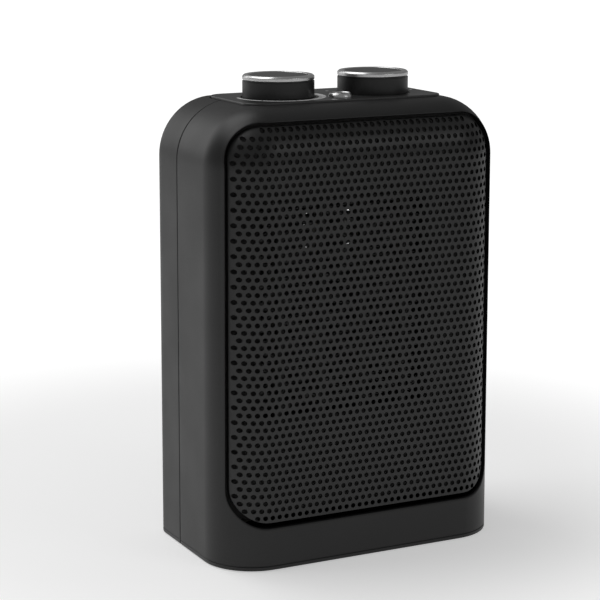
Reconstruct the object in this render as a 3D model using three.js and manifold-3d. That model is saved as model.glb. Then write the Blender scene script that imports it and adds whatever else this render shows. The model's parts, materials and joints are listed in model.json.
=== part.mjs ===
// Compact ceramic (PTC) space heater: two moulded shells, a formed outlet grille, a top control
// panel with two knobs and a lamp, and the heating core, fan, motor and tip-over switch inside.
// Millimetres. +Z is up, the outlet faces -Y, and the origin is on the floor at the middle.
import * as THREE from 'three';
import { mergeVertices } from 'three/addons/utils/BufferGeometryUtils.js';
import Module from 'manifold-3d';

// ---- Driving dimensions ----
const WIDTH = 166;
const DEPTH = 92;
const HEIGHT = 250;
const SHELL_TOP = 237.4;
const SHELL_BASE = 0.3;
const DRAFT = 0.000047;
const WALL = 2.4;
const GAP = 0.3;
const TOP_CORNER = 30.5;
const FRONT_FILLET = 27.7;
const REAR_FILLET = 10;
const BASE_CHAMFER = 0.6;
const FRONT = -DEPTH / 2;
const SHELL_BACK = DEPTH / 2 - 0.8;
const SEAM = FRONT + 59.8;
const SEAM_GAP = 0.6;

const GRILLE_BOTTOM = 22.8;
const GRILLE_TOP = 230.2;
const GRILLE_HALF_WIDTH = 77.6;
const GRILLE_CORNER = 19.5;
const GRILLE_GROOVE = 2;
const GRILLE_LOW_GROOVE = 2.8;
const GRILLE_SHEET = 1.2;
const GRILLE_RECESS = 0.9;
const GRILLE_SIDE = 3;
const GRILLE_FILLET = 25;
const GRILLE_REACH = 15;

const PANEL_HALF_WIDTH = 57;
const PANEL_FRONT = FRONT + 24;
const PANEL_BACK = FRONT + 80;
const PANEL_TOP = SHELL_TOP + 0.8;
const PANEL_THICKNESS = 2.2;
const PANEL_CORNER = 9.5;
const PANEL_GAP = 0.5;
const CUT_TOP = SHELL_TOP + 8;

const KNOB_X = 27.9;
const KNOB_Y = FRONT + 51.5;
const KNOB_RADIUS = 18.9;
const KNOB_RING_WIDTH = 3.2;
const KNOB_RING_HEIGHT = 2.5;
const SPINDLE_RADIUS = 3;
const LAMP_Y = FRONT + 35.4;
const LAMP_RADIUS = 6.3;
const LAMP_HOLE = 5.5;
const SPINDLE_HOLE = 6;

const CORE_HALF_SPAN = 48;
const FRAME_HALF_WIDTH = 66;
const FRAME_RIM = 9;
const CORE_BOTTOM = 72;
const CORE_TOP = 185;
const CORE_FRONT = FRONT + 31.5;
const CORE_BACK = CORE_FRONT + 15;
const CORE_Z = (CORE_BOTTOM + CORE_TOP) / 2;
const BAR_PITCH = 24.5;
const BAR_WIDTH = 4;
const BAR_DEPTH = 2.6;
const SHROUD_PLATE = 2.5;
const CUTOUT_X = 18;
const FRAME_SCREW_RADIUS = 1.3;

const FAN_RADIUS = 50;
const DUCT_RADIUS = 52;
const FAN_FRONT = CORE_BACK + 4.5;
const BLADES = 7;
const SHAFT_RADIUS = 2.5;

const FOOT_RADIUS = 5.5;
const FOOT_X = 64;
const SCREW_X = 71;
const SCREW_Z = [26, 207];

const QUARTER = Math.PI / 2;

// ---- Solids: closed three.js geometry, joined and cut by manifold-3d ----
const wasm = await Module();
wasm.setup();

function solid(geometry) {
  const bare = geometry.clone();
  bare.deleteAttribute('normal');
  bare.deleteAttribute('uv');
  const merged = mergeVertices(bare, 1e-4);
  const triVerts = new Uint32Array(merged.index.array);
  const vertProperties = merged.attributes.position.array;
  const made = new wasm.Manifold(new wasm.Mesh({ numProp: 3, vertProperties, triVerts }));
  if (made.volume() >= 0) return made;
  const turned = triVerts.map((_, i) => triVerts[i - (i % 3) + [0, 2, 1][i % 3]]);
  return new wasm.Manifold(new wasm.Mesh({ numProp: 3, vertProperties, triVerts: turned }));
}

function join(...solids) {
  return solids.reduce((sum, next) => sum.add(next));
}

function cut(body, ...tools) {
  return tools.reduce((rest, tool) => rest.subtract(tool), body);
}

function geometryOf(made) {
  const { vertProperties, triVerts } = made.getMesh();
  const geometry = new THREE.BufferGeometry();
  geometry.setAttribute('position', new THREE.BufferAttribute(vertProperties, 3));
  geometry.setIndex(new THREE.BufferAttribute(triVerts, 1));
  geometry.computeVertexNormals();
  return geometry;
}

// ---- Materials ----
const finish = (color, roughness, metalness = 0) => () =>
  new THREE.MeshStandardMaterial({ color, roughness, metalness });
const housingBlack = finish(0x1c1c1d, 0.5);
const grilleBlack = finish(0x191919, 0.45, 0.3);
const panelBlack = finish(0x202021, 0.42);
const knobBlack = finish(0x151515, 0.5);
const satinSilver = finish(0xb8b8ba, 0.3, 1);
const discGrey = finish(0x4a4a4c, 0.4, 0.2);
const smokedLens = finish(0x9a9a98, 0.15);
const innerPlastic = finish(0x2b2a28, 0.6);
const ceramic = finish(0xb9b4a8, 0.7);
const finAluminium = finish(0x8d8f92, 0.4, 1);
const steel = finish(0x8f9296, 0.35, 1);
const copper = finish(0x9a5a33, 0.4, 1);
const brass = finish(0xb08d4a, 0.35, 1);
const rubberBlack = finish(0x121212, 0.9);
const switchWhite = finish(0xc9c6bc, 0.6);

function piece(name, made, material) {
  const mesh = new THREE.Mesh(geometryOf(made), material());
  mesh.name = name;
  return mesh;
}

function placed(mesh, x, y, z) {
  mesh.position.set(x, y, z);
  return mesh;
}

// ---- Simple shapes ----
function block([x0, x1], [y0, y1], [z0, z1]) {
  const box = new THREE.BoxGeometry(x1 - x0, y1 - y0, z1 - z0);
  box.translate((x0 + x1) / 2, (y0 + y1) / 2, (z0 + z1) / 2);
  return solid(box);
}

// A profile of [radius, height] points turned about Y.
function turnedGeometry(profile, segments) {
  const points = profile.map(([r, h]) => new THREE.Vector2(r, h));
  const closed = profile[0][0] > 0 || profile.at(-1)[0] > 0;
  if (closed) points.push(points[0].clone());
  return new THREE.LatheGeometry(points, segments);
}

function turnedY(profile, x = 0, z = 0, segments = 20) {
  return solid(turnedGeometry(profile, segments).translate(x, 0, z));
}

function turnedZ(profile, x = 0, y = 0, segments = 20) {
  return solid(turnedGeometry(profile, segments).rotateX(QUARTER).translate(x, y, 0));
}

function rodY(radius, y0, y1, x = 0, z = 0, segments = 20) {
  return turnedY([[0, y0], [radius, y0], [radius, y1], [0, y1]], x, z, segments);
}

function rodZ(radius, z0, z1, x = 0, y = 0, segments = 20) {
  return turnedZ([[0, z0], [radius, z0], [radius, z1], [0, z1]], x, y, segments);
}

function tubeY(inner, outer, y0, y1, x = 0, z = 0, segments = 20) {
  return turnedY([[inner, y0], [outer, y0], [outer, y1], [inner, y1]], x, z, segments);
}

function roundedShape(x0, x1, v0, v1, lowRadius, highRadius) {
  const shape = new THREE.Shape();
  shape.moveTo(x0 + lowRadius, v0);
  shape.lineTo(x1 - lowRadius, v0);
  shape.absarc(x1 - lowRadius, v0 + lowRadius, lowRadius, -QUARTER, 0);
  shape.lineTo(x1, v1 - highRadius);
  shape.absarc(x1 - highRadius, v1 - highRadius, highRadius, 0, QUARTER);
  shape.lineTo(x0 + highRadius, v1);
  shape.absarc(x0 + highRadius, v1 - highRadius, highRadius, QUARTER, 2 * QUARTER);
  shape.lineTo(x0, v0 + lowRadius);
  shape.absarc(x0 + lowRadius, v0 + lowRadius, lowRadius, 2 * QUARTER, 3 * QUARTER);
  return shape;
}

// A shape drawn in X and Z, pulled from y0 to y1.
function prismY(shape, y0, y1, curveSegments = 6) {
  const settings = { depth: y1 - y0, bevelEnabled: false, curveSegments };
  const geometry = new THREE.ExtrudeGeometry(shape, settings);
  return solid(geometry.rotateX(QUARTER).translate(0, y1, 0));
}

// A shape drawn in X and Y, pulled from z0 to z1.
function prismZ(shape, z0, z1, curveSegments = 4) {
  const settings = { depth: z1 - z0, bevelEnabled: false, curveSegments };
  return solid(new THREE.ExtrudeGeometry(shape, settings).translate(0, 0, z0));
}

// ---- The housing's outer form ----
// One ring of the form: the plan outline gives its half width and depth, and the ring climbs
// from the chamfered base up the wall and over the rounded top corners.
function formRing(inset, edgeInset, y, chamferInset, chamferY) {
  const halfWidth = WIDTH / 2 - inset - edgeInset;
  const top = SHELL_TOP - inset - edgeInset;
  const corner = TOP_CORNER - inset - edgeInset;
  const base = SHELL_BASE + inset;
  const lowHalfWidth = WIDTH / 2 - inset - chamferInset;
  const shoulder = base + BASE_CHAMFER;
  const ring = [
    [-halfWidth, y, shoulder],
    [-lowHalfWidth, chamferY, base],
    [lowHalfWidth, chamferY, base],
    [halfWidth, y, shoulder],
  ];
  const steps = 8;
  for (const [side, start] of [[1, 0], [-1, QUARTER]]) {
    for (let i = 0; i <= steps; i += 1) {
      const angle = start + (QUARTER * i) / steps;
      const x = side * (halfWidth - corner) + corner * Math.cos(angle);
      ring.push([x, y, top - corner + corner * Math.sin(angle)]);
    }
  }
  return ring.map(([x, depth, z]) => [x * (1 - DRAFT * z), depth, z]);
}

// Rings round one edge fillet, from the end face (direction -1 at the front, 1 at the back).
function filletRings(inset, faceY, radius, direction) {
  const rings = [];
  const steps = 7;
  for (let i = 0; i <= steps; i += 1) {
    const angle = (QUARTER * i) / steps;
    const edgeInset = radius * (1 - Math.sin(angle));
    const y = faceY - direction * radius * (1 - Math.cos(angle));
    const small = radius - BASE_CHAMFER;
    const chamferInset = radius - small * Math.sin(angle);
    const chamferY = faceY - direction * (radius - small * Math.cos(angle));
    rings.push(formRing(inset, edgeInset, y, chamferInset, chamferY));
  }
  return direction < 0 ? rings : rings.reverse();
}

function flatRing(inset, y) {
  return formRing(inset, 0, y, BASE_CHAMFER, y);
}

function loft(rings) {
  const count = rings[0].length;
  const positions = rings.flat(2);
  const index = [];
  for (let r = 0; r + 1 < rings.length; r += 1) {
    for (let i = 0; i < count; i += 1) {
      const a = r * count + i;
      const b = r * count + ((i + 1) % count);
      index.push(a, a + count, b + count, a, b + count, b);
    }
  }
  const last = (rings.length - 1) * count;
  for (let i = 1; i + 1 < count; i += 1) {
    index.push(0, i, i + 1, last, last + i + 1, last + i);
  }
  const geometry = new THREE.BufferGeometry();
  geometry.setAttribute('position', new THREE.Float32BufferAttribute(positions, 3));
  geometry.setIndex(index);
  return solid(geometry);
}

function frontForm(inset, back) {
  const rings = filletRings(inset, FRONT + inset, FRONT_FILLET - inset, -1);
  return loft([...rings, flatRing(inset, back)]);
}

function rearForm(inset, front) {
  const rings = filletRings(inset, SHELL_BACK - inset, REAR_FILLET - inset, 1);
  return loft([flatRing(inset, front), ...rings]);
}

// ---- Cuts that both shells share ----
function panelPocket() {
  const x = PANEL_HALF_WIDTH + PANEL_GAP;
  const floor = PANEL_TOP - PANEL_THICKNESS - GAP;
  const ys = [PANEL_FRONT - PANEL_GAP, PANEL_BACK + PANEL_GAP];
  return prismZ(roundedShape(-x, x, ...ys, PANEL_CORNER, PANEL_CORNER), floor, CUT_TOP);
}

function footPocket(x, y) {
  return rodZ(FOOT_RADIUS + GAP, 0, SHELL_BASE + 1.4, x, y);
}

const FOOT_Y = [FRONT + 22, SHELL_BACK - 14];
const screwPlaces = [-1, 1].flatMap((side) => SCREW_Z.map((z) => [side * SCREW_X, z]));

function grilleOutline(inset, lowInset) {
  const x = GRILLE_HALF_WIDTH - inset;
  const corner = GRILLE_CORNER - inset;
  return roundedShape(-x, x, GRILLE_BOTTOM + lowInset, GRILLE_TOP - inset, corner, corner);
}

// ---- Shells ----
// A screw post behind the bezel, with a web out to the side wall.
function screwPost(x, z, y0, y1, radius, webThickness) {
  const edge = Math.sign(x) * (WIDTH / 2);
  const zs = [z - webThickness / 2, z + webThickness / 2];
  const web = block([Math.min(x, edge), Math.max(x, edge)], [y0, y1], zs);
  return join(rodY(radius, y0, y1, x, z, 16), web);
}

function frontShell() {
  const back = SEAM - SEAM_GAP / 2;
  const skin = cut(frontForm(0, back), frontForm(WALL, back + 1));
  const posts = screwPlaces.map(([x, z]) => screwPost(x, z, FRONT + 17, back, 4, 2.4));
  const insidePosts = join(...posts).intersect(frontForm(WALL / 2, back));
  const pilotHoles = screwPlaces.map(([x, z]) => rodY(1.8, back - 14, back + 1, x, z, 12));
  const spindleHoles = [-KNOB_X, KNOB_X].map((x) =>
    rodZ(SPINDLE_HOLE + 1, SHELL_TOP - 7, CUT_TOP, x, KNOB_Y));
  return cut(
    join(skin, insidePosts),
    prismY(grilleOutline(0, 0), FRONT - 1, FRONT + GRILLE_REACH + 0.5),
    panelPocket(),
    rodZ(LAMP_HOLE, SHELL_TOP - 7, CUT_TOP, 0, LAMP_Y),
    ...pilotHoles,
    ...spindleHoles,
    ...[-FOOT_X, FOOT_X].map((x) => footPocket(x, FOOT_Y[0])),
  );
}

const SLOT_ROWS = 15;
const SLOT_PITCH = 6.6;
const SLOT_HEIGHT = 3.4;
const SLOT_HALF_SPAN = 54;

function intakeSlots() {
  const slots = [];
  for (let row = 0; row < SLOT_ROWS; row += 1) {
    const z = CORE_Z + (row - (SLOT_ROWS - 1) / 2) * SLOT_PITCH;
    const zs = [z - SLOT_HEIGHT / 2, z + SLOT_HEIGHT / 2];
    const ys = [SHELL_BACK - WALL - 1, SHELL_BACK + 1];
    slots.push(block([-SLOT_HALF_SPAN, -2], ys, zs));
    slots.push(block([2, SLOT_HALF_SPAN], ys, zs));
  }
  return slots;
}

const GLAND_X = 52;
const GLAND_Z = 20;
const TIP_X = -44;
const TIP_Y = SEAM + 14;

function rearShell() {
  const front = SEAM + SEAM_GAP / 2;
  const tongueFront = SEAM - 3;
  const tongue = cut(
    rearForm(WALL + GAP, tongueFront).intersect(block([-90, 90], [-20, front + 2], [-5, 245])),
    rearForm(WALL + GAP + 1, tongueFront - 1),
  );
  const skin = cut(rearForm(0, front), rearForm(WALL, front - 1));
  const shoulder = cut(
    rearForm(WALL / 2, front).intersect(block([-90, 90], [-20, front + 2], [-5, 245])),
    rearForm(WALL + GAP + 1, front - 1),
  );
  const sleeves = screwPlaces.map(([x, z]) => rodY(4.6, front, SHELL_BACK - 1, x, z, 16));
  const screwWays = screwPlaces.map(([x, z]) => rodY(1.9, front - 9, SHELL_BACK, x, z, 12));
  const headWays = screwPlaces.map(([x, z]) => rodY(3.4, front + 5, SHELL_BACK + 1, x, z, 16));
  const postWays = screwPlaces.map(([x, z]) => screwPost(x, z, front - 5, front, 5, 3.2));
  return cut(
    join(skin, shoulder, cut(tongue, ...postWays), ...sleeves),
    panelPocket(),
    rodY(6.3, SHELL_BACK - 6, SHELL_BACK + 1, GLAND_X, GLAND_Z),
    rodZ(3, 0, 8, TIP_X, TIP_Y, 16),
    ...screwWays,
    ...headWays,
    ...intakeSlots(),
    ...[-FOOT_X, FOOT_X].map((x) => footPocket(x, FOOT_Y[1])),
  );
}

// The sheet turns in at its sides sooner than the housing does, on a form of its own.
function grilleForm(inset, back) {
  const side = GRILLE_SIDE + inset;
  const face = FRONT + GRILLE_RECESS + inset;
  const rings = filletRings(side, face, GRILLE_FILLET - inset, -1);
  return loft([...rings, flatRing(side, back)]);
}

function outletGrille() {
  const back = FRONT + GRILLE_REACH;
  const sheet = cut(grilleForm(0, back), grilleForm(GRILLE_SHEET, back + 1));
  const outline = grilleOutline(GRILLE_GROOVE, GRILLE_LOW_GROOVE);
  return sheet.intersect(prismY(outline, FRONT - 1, back));
}

// ---- Control panel, lamp and knobs ----
function controlPanel() {
  const x = PANEL_HALF_WIDTH;
  const bottom = PANEL_TOP - PANEL_THICKNESS;
  const outline = roundedShape(-x, x, PANEL_FRONT, PANEL_BACK, PANEL_CORNER, PANEL_CORNER);
  const plate = prismZ(outline, bottom, PANEL_TOP);
  const dishes = [-KNOB_X, KNOB_X].map((kx) =>
    rodZ(KNOB_RADIUS + 1, PANEL_TOP - 1, CUT_TOP, kx, KNOB_Y, KNOB_SEGMENTS));
  const holes = [-KNOB_X, KNOB_X].map((kx) =>
    rodZ(SPINDLE_HOLE, bottom - 1, CUT_TOP, kx, KNOB_Y));
  return cut(plate, ...dishes, ...holes, rodZ(LAMP_HOLE, bottom - 1, CUT_TOP, 0, LAMP_Y));
}

const RING_BASE = HEIGHT - KNOB_RING_HEIGHT;
const KNOB_SEGMENTS = 30;
const CAP_RADIUS = KNOB_RADIUS - KNOB_RING_WIDTH - GAP;

function knobBody() {
  const bottom = PANEL_TOP - 0.5;
  const top = RING_BASE - GAP;
  const profile = [
    [SPINDLE_RADIUS + GAP, bottom + 1.5], [5.5, bottom + 1.5], [5.5, 243], [KNOB_RADIUS - 2, 243],
    [KNOB_RADIUS - 2, bottom], [KNOB_RADIUS, bottom], [KNOB_RADIUS, top],
    [CAP_RADIUS + GAP, top], [CAP_RADIUS + GAP, 244.9], [SPINDLE_RADIUS + GAP, 244.9],
  ];
  return turnedZ(profile, 0, 0, KNOB_SEGMENTS);
}

function knobRing() {
  const inner = KNOB_RADIUS - KNOB_RING_WIDTH;
  const profile = [
    [inner, RING_BASE], [KNOB_RADIUS, RING_BASE], [KNOB_RADIUS, HEIGHT - 0.5],
    [KNOB_RADIUS - 0.5, HEIGHT], [inner + 0.4, HEIGHT], [inner, HEIGHT - 0.4],
  ];
  return turnedZ(profile, 0, 0, KNOB_SEGMENTS);
}

function knobCap() {
  const profile = [
    [0, 245.2], [CAP_RADIUS, 245.2], [CAP_RADIUS, HEIGHT - 0.5], [CAP_RADIUS - 0.3, HEIGHT - 0.2],
    [0, HEIGHT - 0.2],
  ];
  return turnedZ(profile, 0, 0, KNOB_SEGMENTS);
}

function spindle() {
  return rodZ(SPINDLE_RADIUS, 220, 244.6, 0, 0, 16);
}

function knobSet(name, side) {
  const set = new THREE.Group();
  set.add(
    piece(`${name}_knob`, knobBody(), knobBlack),
    piece(`${name}_knob_ring`, knobRing(), satinSilver),
    piece(`${name}_knob_cap`, knobCap(), discGrey),
    piece(`${name}_spindle`, spindle(), brass),
  );
  set.position.set(side * KNOB_X, KNOB_Y, 0);
  return set;
}

const BODY_TOP = SHELL_TOP - WALL - 1.6;
const BUSHING_RADIUS = 4.9;

// The sleeve that a control's spindle turns in, passing the shell and the panel.
function bushing(x) {
  const inner = SPINDLE_RADIUS + GAP;
  const low = BODY_TOP - 4;
  const high = SHELL_TOP - 0.4;
  const profile = [[inner, low], [BUSHING_RADIUS, low], [BUSHING_RADIUS, high], [inner, high]];
  return turnedZ(profile, x, KNOB_Y);
}

function thermostatBody() {
  const x = -KNOB_X;
  const base = block([x - 11, x + 11], [KNOB_Y - 9, KNOB_Y + 9], [222, BODY_TOP]);
  const leaf = block([x - 20, x + 2], [KNOB_Y - 4, KNOB_Y + 4], [213, 214.2]);
  const stack = block([x - 20, x - 13], [KNOB_Y - 4, KNOB_Y + 4], [212, 226]);
  const bridge = block([x - 14, x - 10], [KNOB_Y - 4, KNOB_Y + 4], [222, 226]);
  const tab = block([x - 18, x - 16], [KNOB_Y - 3, KNOB_Y + 3], [205, 214]);
  const way = rodZ(SPINDLE_RADIUS + GAP, 219.5, 240, x, KNOB_Y, 16);
  return cut(join(base, bushing(x), leaf, stack, bridge, tab), way);
}

function modeSwitchBody() {
  const x = KNOB_X;
  const drum = rodZ(12.5, 217, BODY_TOP, x, KNOB_Y);
  const tabs = [-6, -2, 2, 6].map((dx) =>
    block([x + dx - 1, x + dx + 1], [KNOB_Y - 8, KNOB_Y - 5], [208, 218]));
  const way = rodZ(SPINDLE_RADIUS + GAP, 219.5, 240, x, KNOB_Y, 16);
  return cut(join(drum, bushing(x), ...tabs), way);
}

function lampBezel() {
  const low = PANEL_TOP + GAP;
  const profile = [
    [4.4, 236.5], [5.2, 236.5], [5.2, low], [LAMP_RADIUS, low],
    [LAMP_RADIUS, low + 1.4], [LAMP_RADIUS - 0.9, low + 2.3], [4.4, low + 1.6],
  ];
  return turnedZ(profile, 0, LAMP_Y, 20);
}

function lampLens() {
  const profile = [[0, 236.5], [4.1, 236.5], [4.1, 239.4], [2.6, 240.1], [0, 240.4]];
  return turnedZ(profile, 0, LAMP_Y, 20);
}

// ---- Heating core ----
const STRIP_MIDS = [-1.5, -0.5, 0.5, 1.5].map((i) => i * BAR_PITCH);
const STRIP_WIDTH = 2.6;
const FIN_BACK = CORE_BACK - 1.4;
const FIN_FRONT = FIN_BACK - 10;

function frameOutline() {
  const low = CORE_BOTTOM - FRAME_RIM;
  const high = CORE_TOP + FRAME_RIM;
  return roundedShape(-FRAME_HALF_WIDTH, FRAME_HALF_WIDTH, low, high, 4, 4);
}

const FRAME_SCREW_X = FRAME_HALF_WIDTH - 5;
const FRAME_SCREW_ZS = [CORE_BOTTOM - 4.5, CORE_TOP + 4.5];
const frameScrewPlaces = [-1, 1].flatMap((side) =>
  FRAME_SCREW_ZS.map((z) => [side * FRAME_SCREW_X, z]));

function heaterFrame() {
  const halfSpan = CORE_HALF_SPAN + GAP;
  const windowShape = roundedShape(-halfSpan, halfSpan, CORE_BOTTOM, CORE_TOP, 2, 2);
  const screwWays = frameScrewPlaces.map(([x, z]) =>
    rodY(FRAME_SCREW_RADIUS + GAP, CORE_BACK - 10, CORE_BACK + 1, x, z, 12));
  const frame = cut(
    prismY(frameOutline(), CORE_FRONT, CORE_BACK),
    prismY(windowShape, CORE_FRONT - 1, CORE_BACK + 1),
    ...screwWays,
  );
  const bars = STRIP_MIDS.map((x) =>
    block([x - BAR_WIDTH / 2, x + BAR_WIDTH / 2], [CORE_FRONT, CORE_FRONT + BAR_DEPTH],
      [CORE_BOTTOM - 1, CORE_TOP + 1]));
  return join(frame, ...bars);
}


function frameScrew() {
  const seat = CORE_BACK + SHROUD_PLATE + GAP;
  const head = rodY(2.6, seat, seat + 1.8, 0, 0, 16);
  const shank = rodY(FRAME_SCREW_RADIUS, CORE_BACK - 9, seat + 0.5, 0, 0, 12);
  return cut(join(head, shank), block([-0.4, 0.4], [seat + 1, seat + 3], [-1.8, 1.8]));
}

// A folded aluminium fin pack: one strip running up in a zigzag between two heating strips, as
// wide at each fold as the strip's own thickness needs.
function finPack([low, high]) {
  const folds = 24;
  const rise = (CORE_TOP - CORE_BOTTOM - 2) / folds;
  const foldWidth = (0.8 * (high - low)) / rise;
  const heights = Array.from({ length: folds + 1 }, (_, i) => CORE_BOTTOM + 1 + i * rise);
  const lowSide = heights.map((z, i) => new THREE.Vector2(i % 2 ? high - foldWidth : low, z));
  const highSide = heights.map((z, i) => new THREE.Vector2(i % 2 ? high : low + foldWidth, z));
  const shape = new THREE.Shape([...lowSide, ...highSide.reverse()]);
  return prismY(shape, FIN_FRONT, FIN_BACK);
}

// The columns between the heating strips; the outer two run to the frame's sides.
function finColumns() {
  const edge = STRIP_WIDTH / 2 + GAP;
  const lows = [-CORE_HALF_SPAN, ...STRIP_MIDS.map((x) => x + edge)];
  const highs = [...STRIP_MIDS.map((x) => x - edge), CORE_HALF_SPAN];
  return lows.map((low, i) => [low, highs[i]]);
}

function ptcStrip() {
  const x = (STRIP_WIDTH - GAP) / 2;
  return block([-x, x], [FIN_FRONT, FIN_BACK], [CORE_BOTTOM + GAP, CORE_TOP - GAP]);
}

function heatingCore() {
  const core = new THREE.Group();
  core.add(piece('heater_frame', heaterFrame(), innerPlastic));
  finColumns().forEach((column, i) => {
    core.add(piece(`fin_pack_${i + 1}`, finPack(column), finAluminium));
  });
  STRIP_MIDS.forEach((x, i) => {
    core.add(placed(piece(`ptc_strip_${i + 1}`, ptcStrip(), ceramic), x, 0, 0));
  });
  frameScrewPlaces.forEach(([x, z], i) => {
    core.add(placed(piece(`frame_screw_${i + 1}`, frameScrew(), steel), x, 0, z));
  });
  return core;
}

// The cutout sits on the frame's upper rim, its cap upward.
function thermalCutout() {
  const seat = CORE_TOP + FRAME_RIM + GAP;
  const x = -CUTOUT_X;
  const y = CORE_FRONT + 7.5;
  return join(rodZ(7, seat, seat + 3.7, x, y), rodZ(5.5, seat + 3, seat + 6, x, y));
}

// ---- Fan and motor ----
function fanShroud() {
  const plate = prismY(frameOutline(), CORE_BACK + GAP, CORE_BACK + SHROUD_PLATE);
  const ductBack = FAN_FRONT + 17;
  const ys = [ductBack - 2, ductBack];
  const duct = tubeY(DUCT_RADIUS, DUCT_RADIUS + 2, CORE_BACK + 1, ductBack, 0, CORE_Z, 36);
  const hub = tubeY(9, 14, ...ys, 0, CORE_Z);
  const mouth = rodY(DUCT_RADIUS, CORE_BACK, CORE_BACK + 3, 0, CORE_Z, 36);
  const screwWays = frameScrewPlaces.map(([x, z]) =>
    rodY(FRAME_SCREW_RADIUS + GAP, CORE_BACK, CORE_BACK + 3, x, z, 12));
  const reach = [12, DUCT_RADIUS + 1];
  const arms = [0, 1, 2, 3].map((i) =>
    block(reach, ys, [-3, 3]).rotate([0, 90 * i, 0]).translate([0, 0, CORE_Z]));
  return join(cut(plate, mouth, ...screwWays), duct, hub, ...arms);
}

function fanBlade(angle) {
  const shape = new THREE.Shape();
  shape.moveTo(-6, 0);
  shape.lineTo(6, 0);
  shape.quadraticCurveTo(15, 22, 12, FAN_RADIUS - 14);
  shape.quadraticCurveTo(0, FAN_RADIUS - 9, -14, FAN_RADIUS - 16);
  shape.quadraticCurveTo(-10, 16, -6, 0);
  const settings = { depth: 1.4, bevelEnabled: false, curveSegments: 3 };
  const blade = new THREE.ExtrudeGeometry(shape, settings);
  blade.translate(0, 0, -0.7).rotateX(QUARTER).rotateZ(0.52);
  return solid(blade.translate(0, FAN_FRONT + 7, 11).rotateY(angle).translate(0, 0, CORE_Z));
}

function impeller() {
  const hub = turnedY([
    [SHAFT_RADIUS + 0.05, FAN_FRONT + 3], [12, FAN_FRONT + 1], [14, FAN_FRONT + 3],
    [14, FAN_FRONT + 13.5], [12, FAN_FRONT + 13.5], [12, FAN_FRONT + 5], [5, FAN_FRONT + 5],
    [5, FAN_FRONT + 13.5], [SHAFT_RADIUS + 0.05, FAN_FRONT + 13.5],
  ], 0, CORE_Z, 32);
  const blades = Array.from({ length: BLADES }, (_, i) => fanBlade((i * 2 * Math.PI) / BLADES));
  const sweep = tubeY(13, FAN_RADIUS, FAN_FRONT, FAN_FRONT + 14.2, 0, CORE_Z, 36);
  return join(hub, join(...blades).intersect(sweep));
}

const MOTOR_FRONT = FAN_FRONT + 17 + GAP;
const STACK_FRONT = MOTOR_FRONT + 2.3;
const STACK_BACK = STACK_FRONT + 10;
const ROTOR_RADIUS = 13;

function motorStator() {
  const outline = roundedShape(-24, 24, CORE_Z - 34, CORE_Z + 22, 3, 10);
  const outer = prismY(outline, STACK_FRONT, STACK_BACK);
  const bore = rodY(ROTOR_RADIUS + 0.6, STACK_FRONT - 1, STACK_BACK + 1, 0, CORE_Z, 32);
  const coilWindow = block([-14, 14], [STACK_FRONT - 1, STACK_BACK + 1], [CORE_Z - 26, CORE_Z - 18]);
  return cut(outer, bore, coilWindow);
}

const COIL_BOTTOM = CORE_Z - 37.5;

function motorCoil() {
  const ys = [STACK_FRONT - 2, STACK_BACK + 2];
  const coil = block([-13.5, 13.5], ys, [COIL_BOTTOM, CORE_Z - 18.4]);
  const coreYs = [STACK_FRONT - GAP, STACK_BACK + GAP];
  const core = block([-20, 20], coreYs, [CORE_Z - 34 - GAP, CORE_Z - 26 + GAP]);
  return cut(coil, core);
}

function motorRotor() {
  return tubeY(SHAFT_RADIUS + 0.05, ROTOR_RADIUS, STACK_FRONT + 0.5, STACK_BACK - 0.5, 0, CORE_Z, 32);
}

function motorShaft() {
  return rodY(SHAFT_RADIUS, FAN_FRONT + 4, STACK_BACK + 5, 0, CORE_Z, 16);
}

const BEARING_OUTER = 4.6;

function motorBracket(y0, y1) {
  const arm = prismY(roundedShape(-23, 23, CORE_Z - 6.5, CORE_Z + 6.5, 3, 3), y0, y1);
  return cut(arm, rodY(BEARING_OUTER + 0.1, y0 - 1, y1 + 1, 0, CORE_Z));
}

function bearing(y0, y1) {
  return tubeY(SHAFT_RADIUS + 0.05, BEARING_OUTER, y0, y1, 0, CORE_Z, 16);
}

function fanAndMotor() {
  const fan = new THREE.Group();
  const rearBracket = STACK_BACK + GAP;
  fan.add(
    piece('fan_shroud', fanShroud(), innerPlastic),
    piece('impeller', impeller(), innerPlastic),
    piece('motor_stator', motorStator(), steel),
    piece('motor_coil', motorCoil(), copper),
    piece('motor_rotor', motorRotor(), steel),
    piece('motor_shaft', motorShaft(), steel),
    piece('motor_bracket_front', motorBracket(MOTOR_FRONT, MOTOR_FRONT + 2), steel),
    piece('motor_bracket_rear', motorBracket(rearBracket, rearBracket + 2), steel),
    piece('bearing_front', bearing(MOTOR_FRONT - 0.5, MOTOR_FRONT + 2), brass),
    piece('bearing_rear', bearing(rearBracket, rearBracket + 3), brass),
  );
  return fan;
}

// ---- Base: tip-over switch, terminals, cord entry, feet ----
const PLUNGER_RADIUS = 2.4;
const TIP_TAB_TOP = 30;

function tipSwitchBody() {
  const shell = block([TIP_X - 7, TIP_X + 7], [TIP_Y - 5, TIP_Y + 5], [3.6, 24]);
  const bore = rodZ(PLUNGER_RADIUS + GAP, 0, 21, TIP_X, TIP_Y, 16);
  const tabs = [-4, 4].map((dx) =>
    block([TIP_X + dx - 1, TIP_X + dx + 1], [TIP_Y - 2, TIP_Y + 2], [23, TIP_TAB_TOP]));
  return join(cut(shell, bore), ...tabs);
}

function tipPlunger() {
  const low = 0.3;
  return turnedZ([[0, low], [1.8, low], [PLUNGER_RADIUS, low + 0.8], [PLUNGER_RADIUS, 14], [0, 14]],
    TIP_X, TIP_Y, 16);
}

function tipSpring() {
  return turnedZ([[1.2, 14.3], [2.2, 14.3], [2.2, 20.7], [1.2, 20.7]], TIP_X, TIP_Y, 16);
}

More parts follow.
